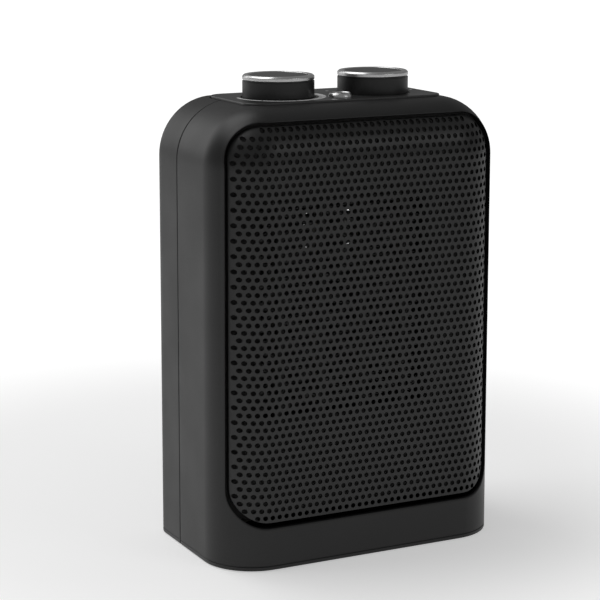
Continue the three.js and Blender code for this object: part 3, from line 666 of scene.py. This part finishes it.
def sheet_plan(outline, centres):
    """The sheet in front view, cut into faces round its holes: points, faces and edge loops."""
    points = list(outline)
    loops = [list(range(len(outline)))]
    for centre in centres:
        start = len(points)
        points += arc(centre, HOLE_RADIUS, 0, 360, HOLE_SIDES)[:-1]
        loops.append(list(range(start, start + HOLE_SIDES)))
    edges = [(loop[i], loop[(i + 1) % len(loop)]) for loop in loops for i in range(len(loop))]
    scaled = [Vector((x / MM, z / MM)) for x, z in points]
    flat, _, faces, origins, _, _ = delaunay_2d_cdt(scaled, edges, [], 0, 1e-4)
    plan = np.array([(v.x * MM, v.y * MM) for v in flat])
    loop_of, index_of = {}, {}
    for index, sources in enumerate(origins):
        for source in sources:
            index_of[source] = index
            in_hole = source >= len(outline)
            loop_of[index] = 1 + (source - len(outline)) // HOLE_SIDES if in_hole else 0
    kept = []
    for face in faces:
        owners = {loop_of[i] for i in face}
        if len(owners) == 1 and owners != {0}:
            continue
        middle = plan[list(face)].mean(0)
        if owners == {0} and not inside_rounded(middle[0], middle[1], 0.0):
            continue
        kept.append(list(face))
    return plan, kept, [[index_of[i] for i in loop] for loop in loops]


def flange(front_edge, back_edge, outline):
    """Rings of points that turn the sheet's edge back and in again."""
    inner = inset_outline(outline, FLANGE)
    shallow = np.minimum(front_edge[:, 1] + FLANGE_DEPTH, GRILLE_HIGH.y)
    deep = front_edge.copy()
    deep[:, 1] = np.maximum(shallow, back_edge[:, 1] + 0.1 * MM)
    deep_inner = deep.copy()
    deep_inner[:, [0, 2]] = inner
    near = back_edge.copy()
    near[:, [0, 2]] = inner
    near[:, 1] = sheet_y(inner[:, 0], inner[:, 1], SHEET) + 0.01 * MM
    return deep, deep_inner, near


def band(one, two):
    """Faces between two closed rings of points."""
    after = [(i + 1) % len(one) for i in range(len(one))]
    return [[one[i], one[j], two[j], two[i]] for i, j in enumerate(after)]


def shade_sheet(mesh, plan, front_count):
    """Gives both faces of the sheet the normals of its curved form."""
    mesh.shade_smooth()
    surface = front_normal(plan[:, 0], plan[:, 1], 0.0, sheet_y)
    normals = np.zeros((len(mesh.loops), 3))
    for polygon in mesh.polygons:
        sheet_face = polygon.index < 2 * front_count
        sign = 1 if polygon.index < front_count else -1
        for loop_index, vertex in zip(polygon.loop_indices, polygon.vertices):
            bent = surface[vertex % len(plan)] * sign
            normals[loop_index] = bent if sheet_face else polygon.normal
    mesh.normals_split_custom_set(normals.tolist())


def outlet_grille():
    outline = grille_outline()
    plan, kept, loops = sheet_plan(outline, hole_centres())
    count = len(plan)
    front_points = np.stack([plan[:, 0], sheet_y(plan[:, 0], plan[:, 1]), plan[:, 1]], 1)
    back_points = front_points.copy()
    back_points[:, 1] = sheet_y(plan[:, 0], plan[:, 1], SHEET)
    verts = np.concatenate([front_points, back_points])
    faces = kept + [[count + i for i in face[::-1]] for face in kept]
    for ring in loops[1:]:
        faces += band(ring, [count + i for i in ring])
    edge = loops[0]
    rings = [edge]
    for extra in flange(front_points[edge], back_points[edge], outline):
        rings.append(list(range(len(verts), len(verts) + len(edge))))
        verts = np.concatenate([verts, extra])
    rings.append([count + i for i in edge])
    for one, two in zip(rings[:-1], rings[1:]):
        faces += band(one, two)
    mesh = bpy.data.meshes.new("outlet_grille_sheet")
    mesh.from_pydata([tuple(v) for v in drafted(verts)], [], faces)
    work = bmesh.new()
    work.from_mesh(mesh)
    bmesh.ops.recalc_face_normals(work, faces=work.faces)
    work.to_mesh(mesh)
    work.free()
    shade_sheet(mesh, plan, len(kept))
    piece = bpy.data.objects.new("outlet_grille_sheet", mesh)
    bpy.context.scene.collection.objects.link(piece)
    return piece


# ---------------------------------------------------------------------------
# Control panel, print, lamp and knobs
# ---------------------------------------------------------------------------
def node_axis(node):
    low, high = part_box(node)
    return (low.x + high.x) / 2, (low.y + high.y) / 2


def panel_way(radius, centre, top):
    """A cutter for a round hole through the panel."""
    low, high = top - 9 * MM, top + 1 * MM
    return turned("way", [(0, low), (radius, low), (radius, high), (0, high)], (*centre, 0), 48)


def control_panel():
    plate = prism("control_panel_plate", panel_outline(0), PANEL_LOW.z, PANEL_HIGH.z, "Z", 0.6 * MM)
    top = PANEL_HIGH.z
    for name in KNOBS:
        x, y = node_axis(f"{name}_knob_ring")
        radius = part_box(f"{name}_knob_ring")[1].x - x + 1 * MM
        flare = 0.35 * MM
        profile = [(0, top - DISH_DEPTH), (radius - flare, top - DISH_DEPTH),
                   (radius - 0.1 * MM, top - DISH_DEPTH + 0.2 * MM), (radius, top - flare),
                   (radius + 0.12 * MM, top - 0.12 * MM), (radius + flare, top),
                   (radius + flare, top + 2 * MM), (0, top + 2 * MM)]
        boolean(plate, turned("dish", profile, (x, y, 0), 96), "DIFFERENCE")
        boolean(plate, panel_way(6 * MM, (x, y), top), "DIFFERENCE")
    boolean(plate, panel_way(5.5 * MM, node_axis("lamp_bezel"), top), "DIFFERENCE")
    return plate


def ribbon(name, inner, outer):
    """A thin printed shape between two rows of plan points."""
    outline = list(inner) + list(outer)[::-1]
    area = sum(a[0] * b[1] - b[0] * a[1] for a, b in zip(outline, outline[1:] + outline[:1]))
    if area < 0:
        outline = outline[::-1]
    return prism(name, outline, PRINT_LOW, PRINT_HIGH)


def wedge_scale():
    """A printed arc round the thermostat knob that widens from its low to its high setting."""
    x, y = node_axis("thermostat_knob_ring")
    start, end = 168, 372
    gaps = [222, 268]
    gap = 1.6
    inner, thin, thick = 21.1 * MM, 1.3 * MM, 4.4 * MM
    stops = [start] + [g + s * gap / 2 for g in gaps for s in (-1, 1)] + [end]
    parts = []
    for a, b in zip(stops[::2], stops[1::2]):
        near, far = [], []
        for angle in np.linspace(a, b, 24):
            share = (angle - start) / (end - start)
            width = thin + (thick - thin) * share
            c, s = math.cos(math.radians(angle)), math.sin(math.radians(angle))
            near.append((x + inner * c, y + inner * s))
            far.append((x + (inner + width) * c, y + (inner + width) * s))
        parts.append(ribbon("scale_part", near, far))
    return joined("thermostat_scale", parts)


def setting_marks():
    """Small dots round the mode knob, one at each setting."""
    parts = []
    x, y = node_axis("mode_knob_ring")
    reach, radius = 24.6 * MM, 0.9 * MM
    for angle in (143, 97, 51, 5):
        a = math.radians(angle)
        centre = (x + reach * math.cos(a), y + reach * math.sin(a))
        parts.append(prism("mark", arc(centre, radius, 0, 360, 20)[:-1], PRINT_LOW, PRINT_HIGH))
    return joined("mode_marks", parts)


def knob(name, body):
    x, y = node_axis(f"{name}_knob_ring")
    ring_low, ring_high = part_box(f"{name}_knob_ring")
    cap_low, cap_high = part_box(f"{name}_knob_cap")
    low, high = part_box(f"{name}_knob")
    radius = high.x - x
    cap = cap_high.x - x
    inner = 3.3 * MM
    skirt = [(inner, low.z + 3 * MM), (radius - 2 * MM, low.z + 3 * MM), (radius - 2 * MM, low.z),
             (radius, low.z, 0.5), (radius, high.z - 0.6 * MM), (radius - 0.45 * MM, high.z - 0.5 * MM),
             (radius - 0.45 * MM, high.z + 0.2 * MM), (cap + 0.3 * MM, high.z + 0.2 * MM),
             (cap + 0.3 * MM, cap_low.z - 0.3 * MM), (inner, cap_low.z - 0.3 * MM)]
    side = turned(f"{name}_knob_skirt", rounded_profile(skirt, 1 * MM), (x, y, 0), 128)
    finish_piece(smooth(side), body, "knob", KNOB_PLASTIC, f"{name}_knob")
    ring_inner = cap + 0.25 * MM
    ring = [(ring_inner, ring_low.z), (radius, ring_low.z, 0.25), (radius, ring_high.z - 0.9 * MM, 0.2),
            (radius - 0.9 * MM, ring_high.z, 0.35), (ring_inner + 0.5 * MM, ring_high.z, 0.3),
            (ring_inner, ring_high.z - 0.6 * MM, 0.2)]
    metal = turned(f"{name}_knob_trim", rounded_profile(ring, 1 * MM), (x, y, 0), 128)
    finish_piece(smooth(metal), body, "satin_silver", SATIN_SILVER, f"{name}_knob_ring")
    top = cap_high.z
    disc = [(0, cap_low.z), (cap, cap_low.z), (cap, top - 0.3 * MM, 0.15),
            (cap - 0.3 * MM, top, 0.15), (0, top)]
    face = turned(f"{name}_knob_disc", rounded_profile(disc, 1 * MM), (x, y, 0), 128)
    finish_piece(smooth(face), body, "disc", SPUN_DISC, f"{name}_knob_cap")


def lamp():
    x, y = node_axis("lamp_bezel")
    low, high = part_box("lamp_bezel")
    radius = high.x - x
    seat = PANEL_HIGH.z + 0.02 * MM
    bezel = [(4.45 * MM, low.z), (5.2 * MM, low.z), (5.2 * MM, seat), (radius, seat),
             (radius, seat + 0.9 * MM, 0.4), (radius - 1 * MM, high.z, 0.7),
             (4.9 * MM, high.z - 0.4 * MM, 0.3), (4.45 * MM, high.z - 1.3 * MM)]
    ring = turned("lamp_bezel_ring", rounded_profile(bezel, 1 * MM), (x, y, 0), 96)
    finish_piece(smooth(ring), "housing", "satin_silver", SATIN_SILVER, "lamp_bezel")
    lens_low, lens_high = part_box("lamp_lens")
    size = lens_high.x - x
    profile = [(0, lens_low.z), (size, lens_low.z), (size, lens_high.z - 1.4 * MM)]
    for angle in np.radians(np.linspace(15, 90, 8)):
        profile.append((size * math.cos(angle), lens_high.z - 1.4 * MM + 1.4 * MM * math.sin(angle)))
    lens = turned("lamp_lens_dome", profile, (x, y, 0), 64)
    finish_piece(smooth(lens), "housing", "lens", LENS, "lamp_lens")


# ---------------------------------------------------------------------------
# Heating core, rear fittings and feet
# ---------------------------------------------------------------------------
def loft(name, rings):
    """A closed band through rings of equal count, joined end to end."""
    count = len(rings[0])
    verts = [point for ring in rings for point in ring]
    faces = []
    for k in range(len(rings)):
        after = (k + 1) % len(rings)
        for i in range(count):
            j = (i + 1) % count
            faces.append([k * count + i, k * count + j, after * count + j, after * count + i])
    return make_object(name, verts, faces)


def outlet_duct():
    """The funnel that leads the air from the heater frame out to the grille's edge."""
    strip_low, strip_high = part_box("ptc_strip_1")
    margin = 1.5 * MM
    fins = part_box("fin_pack_5")[1].x + margin
    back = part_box("heater_frame")[0].y - 0.2 * MM
    mouth = FRONT + 19 * MM
    grow = 0.2 * MM
    wall = 1.2 * MM
    low = (-OPEN_HALF_WIDTH - grow, OPEN_BOTTOM - grow)
    high = (OPEN_HALF_WIDTH + grow, OPEN_TOP + grow)
    near = np.array(rounded_rectangle(low, high, OPEN_CORNER + grow, 10))
    low, high = (-fins, strip_low.z - margin), (fins, strip_high.z + margin)
    far = np.array(rounded_rectangle(low, high, 3 * MM, 10))
    rings = []
    for offset, order in ((0, 1), (wall, -1)):
        steps = []
        for t in np.linspace(0, 1, 9):
            swing = t * t * (3 - 2 * t)
            outline = near * (1 - swing) + far * swing
            if offset:
                outline = inset_outline(outline, -offset * (0.2 + 0.8 * t))
            y = mouth + (back - mouth) * t
            steps.append([(x, y, z) for x, z in drafted_pairs(outline)])
        rings += steps[::order]
    duct = loft("outlet_duct", rings)
    finish_piece(smooth(duct, 40), "housing", "inner_plastic", INNER_PLASTIC)


def drafted_pairs(outline):
    return [(x * (1 - DRAFT * (z - SHOULDER)), z) for x, z in outline]


def fin_pack(node):
    """A folded aluminium strip, one thin zigzag between two heating strips."""
    low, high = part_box(node)
    folds = 74
    thickness = 0.32 * MM
    rise = (high.z - low.z - thickness) / folds
    points = []
    for i in range(folds + 1):
        x = low.x if i % 2 == 0 else high.x
        points.append((x, low.z + i * rise))
    verts, faces = [], []
    for x, z in points:
        for y in (low.y, high.y):
            verts += [(x, y, z), (x, y, z + thickness)]
    for i in range(folds):
        a, b = 4 * i, 4 * (i + 1)
        faces += [[a, b, b + 2, a + 2], [a + 1, a + 3, b + 3, b + 1],
                  [a, a + 1, b + 1, b], [a + 2, b + 2, b + 3, a + 3]]
    last = 4 * folds
    faces += [[0, 2, 3, 1], [last, last + 1, last + 3, last + 2]]
    piece = make_object(f"{node}_folds", verts, faces)
    finish_piece(smooth(piece, 20), "housing", "fins", FINS, node)


def gland():
    low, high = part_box("cord_gland")
    x, z = (low.x + high.x) / 2, (low.z + high.z) / 2
    radius = high.x - x
    bore = 3.6 * MM
    face = BACK + 0.02 * MM
    profile = [(bore, low.y), (7.6 * MM, low.y, 0.5), (7.6 * MM, BACK - 2.7 * MM), (6 * MM, BACK - 2.7 * MM),
               (6 * MM, face), (radius, face), (radius, high.y, 0.5), (bore + 1 * MM, high.y, 0.3),
               (bore, high.y - 0.8 * MM, 0.4)]
    ring = turned("cord_gland_bush", rounded_profile(profile, 1 * MM), (x, 0, z), 64, "Y")
    finish_piece(smooth(ring), "housing", "rubber", RUBBER, "cord_gland")


def feet():
    for end in ("front", "rear"):
        for side in ("left", "right"):
            node = f"foot_{end}_{side}"
            low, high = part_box(node)
            x, y = node_axis(node)
            radius = high.x - x
            profile = [(0, low.z + 0.15 * MM), (radius * 0.6, low.z + 0.15 * MM), (radius * 0.65, low.z, 0.1),
                       (radius, low.z, 0.5), (radius, high.z, 0.2), (0, high.z)]
            pad = turned(f"{node}_pad", rounded_profile(profile, 1 * MM), (x, y, 0), 48)
            finish_piece(smooth(pad), "housing", "rubber", RUBBER, node)


# ---------------------------------------------------------------------------
# Materials
# ---------------------------------------------------------------------------
class Nodes:
    """A small helper for one material's node tree."""

    def __init__(self, name):
        self.material = bpy.data.materials.new(name)
        self.material.use_nodes = True
        self.tree = self.material.node_tree
        self.shader = self.tree.nodes["Principled BSDF"]
        self.place = self.tree.nodes.new("ShaderNodeTexCoord").outputs["Object"]

    def node(self, kind, **values):
        made = self.tree.nodes.new(kind)
        for key, value in values.items():
            setattr(made, key, value)
        return made

    def link(self, source, target):
        self.tree.links.new(source, target)

    def noise(self, scale, detail=3.0, stretch=None):
        made = self.node("ShaderNodeTexNoise")
        made.inputs["Scale"].default_value = scale
        made.inputs["Detail"].default_value = detail
        source = self.place
        if stretch:
            mapping = self.node("ShaderNodeMapping")
            mapping.inputs["Scale"].default_value = stretch
            self.link(self.place, mapping.inputs["Vector"])
            source = mapping.outputs["Vector"]
        self.link(source, made.inputs["Vector"])
        return made.outputs["Fac"]

    def spread(self, source, low, high):
        """Maps a noise's middle range to low..high."""
        made = self.node("ShaderNodeMapRange")
        made.inputs["From Min"].default_value = 0.3
        made.inputs["From Max"].default_value = 0.7
        made.inputs["To Min"].default_value = low
        made.inputs["To Max"].default_value = high
        self.link(source, made.inputs["Value"])
        return made.outputs["Result"]

    def colours(self, source, low, high):
        made = self.node("ShaderNodeMix", data_type="RGBA")
        self.link(source, made.inputs["Factor"])
        made.inputs["A"].default_value = (*low, 1)
        made.inputs["B"].default_value = (*high, 1)
        self.link(made.outputs["Result"], self.shader.inputs["Base Color"])

    def bump(self, source, height, strength=1.0):
        made = self.node("ShaderNodeBump")
        made.inputs["Distance"].default_value = height
        made.inputs["Strength"].default_value = strength
        self.link(source, made.inputs["Height"])
        self.link(made.outputs["Normal"], self.shader.inputs["Normal"])

    def set(self, **values):
        for key, value in values.items():
            self.shader.inputs[key.replace("_", " ")].default_value = value


def grained(name, low, high, roughness, grain, height, metallic=0.0, specular=0.5, stretch=None):
    """A surface with fine grain: its colour, roughness and bump all vary with it."""
    nodes = Nodes(name)
    fine = nodes.noise(grain, 3.0, stretch)
    broad = nodes.noise(35, 2.0)
    nodes.colours(nodes.spread(fine, 0, 1), low, high)
    rough = nodes.spread(broad, roughness - 0.03, roughness + 0.03)
    nodes.link(rough, nodes.shader.inputs["Roughness"])
    nodes.bump(fine, height)
    nodes.set(Metallic=metallic, Specular_IOR_Level=specular)
    return nodes.material


def grey(value):
    return (value, value, value)


HOUSING = grained("housing_plastic", grey(0.010), grey(0.014), 0.42, 1500, 0.00003, 0.0, 0.38)
GRILLE = grained("grille_coat", grey(0.007), grey(0.010), 0.42, 2200, 0.00002)
PANEL = grained("panel_plastic", grey(0.016), grey(0.022), 0.36, 1800, 0.00002)
KNOB_PLASTIC = grained("knob_plastic", grey(0.006), grey(0.010), 0.4, 1800, 0.00002)
SATIN_SILVER = grained("satin_silver", grey(0.62), grey(0.72), 0.27, 1200, 0.000008, 1.0)
SPUN_DISC = grained("spun_disc", grey(0.055), grey(0.075), 0.42, 900, 0.00001, 0.3)
PRINT = grained("printed_grey", grey(0.78), grey(0.88), 0.5, 1200, 0.000005)
RUBBER = grained("rubber", grey(0.010), grey(0.016), 0.75, 900, 0.00004)
INNER_PLASTIC = grained("inner_plastic", (0.016, 0.0155, 0.015), (0.024, 0.023, 0.022), 0.5, 900, 0.00003)
CERAMIC = grained("ceramic", (0.32, 0.30, 0.26), (0.40, 0.37, 0.33), 0.75, 1200, 0.00002)
FINS = grained("fin_strip", grey(0.16), grey(0.22), 0.6, 700, 0.00001, 1.0, stretch=(1, 0.05, 1))
STEEL = grained("steel", grey(0.45), grey(0.55), 0.32, 700, 0.00001, 1.0, stretch=(1, 0.1, 1))
COPPER = grained("copper", (0.50, 0.22, 0.10), (0.62, 0.30, 0.15), 0.35, 500, 0.00003, 1.0,
                 stretch=(4, 0.1, 4))
BRASS = grained("brass", (0.55, 0.40, 0.18), (0.66, 0.50, 0.24), 0.3, 700, 0.00001, 1.0)
SWITCH_PLASTIC = grained("switch_plastic", (0.50, 0.48, 0.42), (0.58, 0.56, 0.50), 0.5, 900, 0.00002)


def lens_material():
    nodes = Nodes("smoked_lens")
    nodes.colours(nodes.spread(nodes.noise(400), 0, 1), (0.10, 0.10, 0.10), (0.16, 0.16, 0.155))
    nodes.set(Roughness=0.12, Transmission_Weight=0.25, IOR=1.5)
    return nodes.material


LENS = lens_material()
CARRIED = {
    "inner_plastic": INNER_PLASTIC, "ceramic": CERAMIC, "steel": STEEL, "copper": COPPER,
    "brass": BRASS, "switch_plastic": SWITCH_PLASTIC, "rubber": RUBBER,
}


# ---------------------------------------------------------------------------
# The object
# ---------------------------------------------------------------------------
front = front_shell()
rear = rear_shell()
cut_shells(front, rear)
finish_piece(smooth(front), "housing", "housing", HOUSING, "front_shell")
finish_piece(smooth(rear), "housing", "housing", HOUSING, "rear_shell")
finish_piece(outlet_grille(), "housing", "grille", GRILLE, "outlet_grille")
finish_piece(smooth(control_panel()), "housing", "panel", PANEL, "control_panel")
finish_piece(wedge_scale(), "housing", "satin_silver", PRINT)
finish_piece(setting_marks(), "housing", "satin_silver", PRINT)
for knob_name, knob_body in KNOBS.items():
    knob(knob_name, knob_body)
lamp()
for number in range(1, 6):
    fin_pack(f"fin_pack_{number}")
outlet_duct()
gland()
feet()

slots = {row["node"]: row["material_slot"] for row in frame["record"]["subparts"]}
for node_name, cad_node in frame["nodes"].items():
    if cad_node.hide_render:
        continue
    cad_node.data.materials.clear()
    cad_node.data.materials.append(CARRIED[slots[node_name]])


# ---------------------------------------------------------------------------
# Floor, light and camera
# ---------------------------------------------------------------------------
FLOOR_LIFT = 0.4
FADE_CENTRE = (0, 0.11, 0)
WORLD_LIGHT = 0.2


def floor():
    """A pale floor that fades to plain white away from the heater in the direct view."""
    size = 3.0
    verts = [(-size, -size, 0), (size, -size, 0), (size, size, 0), (-size, size, 0)]
    ground = make_object("floor", verts, [[0, 1, 2, 3]])
    nodes = Nodes("floor_paint")
    nodes.colours(nodes.noise(3), grey(0.83), grey(0.87))
    nodes.set(Roughness=0.9, Specular_IOR_Level=0.1)
    nodes.set(Emission_Color=(1, 1, 1, 1), Emission_Strength=FLOOR_LIFT)
    shifted = nodes.node("ShaderNodeVectorMath", operation="SUBTRACT")
    shifted.inputs[1].default_value = FADE_CENTRE
    nodes.link(nodes.place, shifted.inputs[0])
    distance = nodes.node("ShaderNodeVectorMath", operation="LENGTH")
    nodes.link(shifted.outputs["Vector"], distance.inputs[0])
    fade = nodes.node("ShaderNodeMapRange", interpolation_type="SMOOTHSTEP")
    fade.inputs["From Min"].default_value = 0.17
    fade.inputs["From Max"].default_value = 0.42
    nodes.link(distance.outputs["Value"], fade.inputs["Value"])
    direct = nodes.node("ShaderNodeLightPath")
    share = nodes.node("ShaderNodeMath", operation="MULTIPLY")
    nodes.link(fade.outputs["Result"], share.inputs[0])
    nodes.link(direct.outputs["Is Camera Ray"], share.inputs[1])
    white = nodes.node("ShaderNodeEmission")
    white.inputs["Strength"].default_value = 1.1
    mix = nodes.node("ShaderNodeMixShader")
    nodes.link(share.outputs["Value"], mix.inputs["Fac"])
    nodes.link(nodes.shader.outputs["BSDF"], mix.inputs[1])
    nodes.link(white.outputs["Emission"], mix.inputs[2])
    nodes.link(mix.outputs["Shader"], nodes.tree.nodes["Material Output"].inputs["Surface"])
    ground.data.materials.append(nodes.material)


def softbox(name, place, aim, width, height, power):
    data = bpy.data.lights.new(name, "AREA")
    data.shape = "RECTANGLE"
    data.size = width
    data.size_y = height
    data.energy = power
    light = bpy.data.objects.new(name, data)
    light.location = place
    light.rotation_euler = (Vector(aim) - Vector(place)).to_track_quat("-Z", "Y").to_euler()
    bpy.context.scene.collection.objects.link(light)


def studio():
    world = bpy.data.worlds.new("studio")
    world.use_nodes = True
    bpy.context.scene.world = world
    tree = world.node_tree
    background = tree.nodes["Background"]
    seen = tree.nodes.new("ShaderNodeBackground")
    seen.inputs["Color"].default_value = (1, 1, 1, 1)
    seen.inputs["Strength"].default_value = 1.15
    background.inputs["Color"].default_value = (1, 1, 1, 1)
    background.inputs["Strength"].default_value = WORLD_LIGHT
    path = tree.nodes.new("ShaderNodeLightPath")
    mix = tree.nodes.new("ShaderNodeMixShader")
    tree.links.new(path.outputs["Is Camera Ray"], mix.inputs["Fac"])
    tree.links.new(background.outputs["Background"], mix.inputs[1])
    tree.links.new(seen.outputs["Background"], mix.inputs[2])
    tree.links.new(mix.outputs["Shader"], tree.nodes["World Output"].inputs["Surface"])
    softbox("overhead", (-0.48, 0.5, 1.42), (0, 0, 0.1), 1.2, 0.9, 7.5)
    softbox("front", (0.75, -1.2, 0.95), (0, 0, 0.15), 0.7, 0.3, 1.6)
    softbox("left", (-0.62, 1.45, 0.7), (0, 0, 0.12), 0.8, 1.0, 3.2)


def camera():
    data = bpy.data.cameras.new("camera")
    data.lens = 118.1
    data.sensor_width = 36
    data.shift_x = -0.0043
    data.shift_y = -0.0138
    eye = bpy.data.objects.new("camera", data)
    eye.location = (-0.47795, -0.91309, 0.34510)
    eye.rotation_euler = (math.radians(90 - 11.627), 0, math.radians(-26.807))
    bpy.context.scene.collection.objects.link(eye)
    bpy.context.scene.camera = eye


floor()
studio()
camera()
bpy.context.scene.view_settings.view_transform = "Standard"
